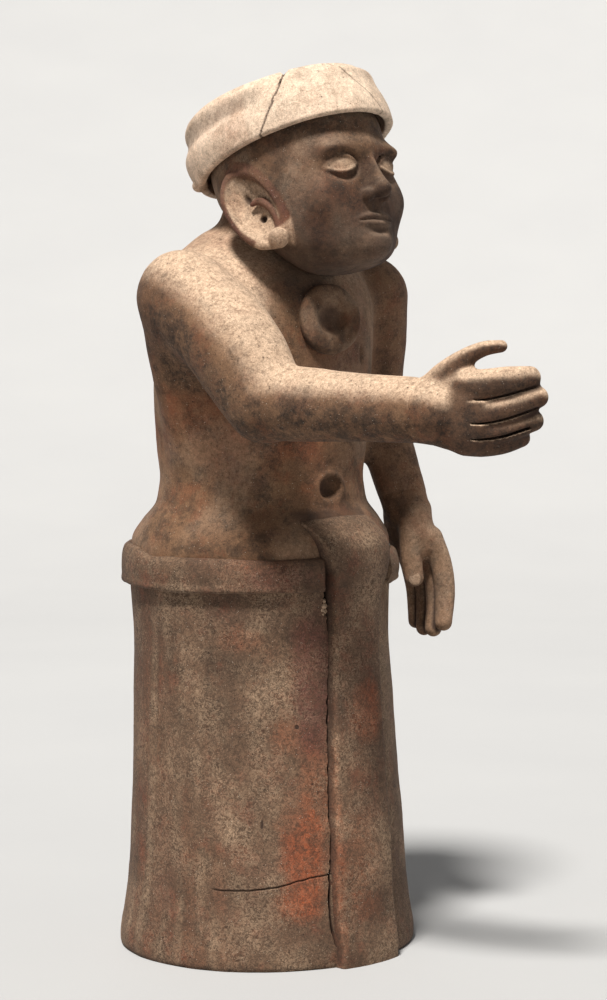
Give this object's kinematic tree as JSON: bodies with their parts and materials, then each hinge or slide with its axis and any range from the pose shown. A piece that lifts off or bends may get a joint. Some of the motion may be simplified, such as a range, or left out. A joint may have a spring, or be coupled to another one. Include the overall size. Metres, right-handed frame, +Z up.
{
  "type": "terracotta figure",
  "caption": "Standing hollow terracotta figure in a long flared skirt with belt and front panel, band cap, large ears and chest disc, one arm held out and one hanging.",
  "frame": {"origin": "on the floor, on the mid-plane, in the middle of the front of the skirt's foot ring", "axes": "+Z up; -Y is the way the figure faces; +X is towards its left hand"},
  "size_m": [0.3181, 0.4901, 0.7962],
  "materials": {
    "clay_brown": "matte",
    "clay_buff": "matte",
    "clay_pale": "matte",
    "clay_plum": "matte"
  },
  "bodies": {
    "root": {"skirt_tube": "clay_brown", "hip_yoke": "clay_brown", "belt_coil": "clay_brown", "front_panel": "clay_brown", "torso_shell": "clay_buff", "chest_disc": "clay_buff", "neck_tube": "clay_buff", "head_shell": "clay_buff", "nose": "clay_buff", "upper_lip": "clay_buff", "lower_lip": "clay_buff", "right_upper_lid": "clay_buff", "right_lower_lid": "clay_buff", "right_ear_shell": "clay_buff", "right_upper_arm": "clay_buff", "right_forearm": "clay_buff", "right_palm": "clay_buff", "right_index_finger": "clay_buff", "right_middle_finger": "clay_buff", "right_ring_finger": "clay_buff", "right_little_finger": "clay_buff", "right_thumb": "clay_buff", "left_upper_lid": "clay_buff", "left_lower_lid": "clay_buff", "left_ear_shell": "clay_buff", "left_upper_arm": "clay_buff", "left_forearm": "clay_buff", "left_palm": "clay_buff", "left_index_finger": "clay_buff", "left_middle_finger": "clay_buff", "left_ring_finger": "clay_buff", "left_little_finger": "clay_buff", "left_thumb": "clay_buff", "cap_front_sherd": "clay_pale", "cap_band": "clay_pale", "cap_crown": "clay_pale", "cap_knob": "clay_pale", "right_eye": "clay_pale", "right_ear_pellet": "clay_pale", "left_eye": "clay_pale", "left_ear_pellet": "clay_pale", "left_thumb_nail": "clay_pale", "right_ear_rim": "clay_plum", "right_ear_fold": "clay_plum", "left_ear_rim": "clay_plum", "left_ear_fold": "clay_plum"}
  },
  "joints": []
}
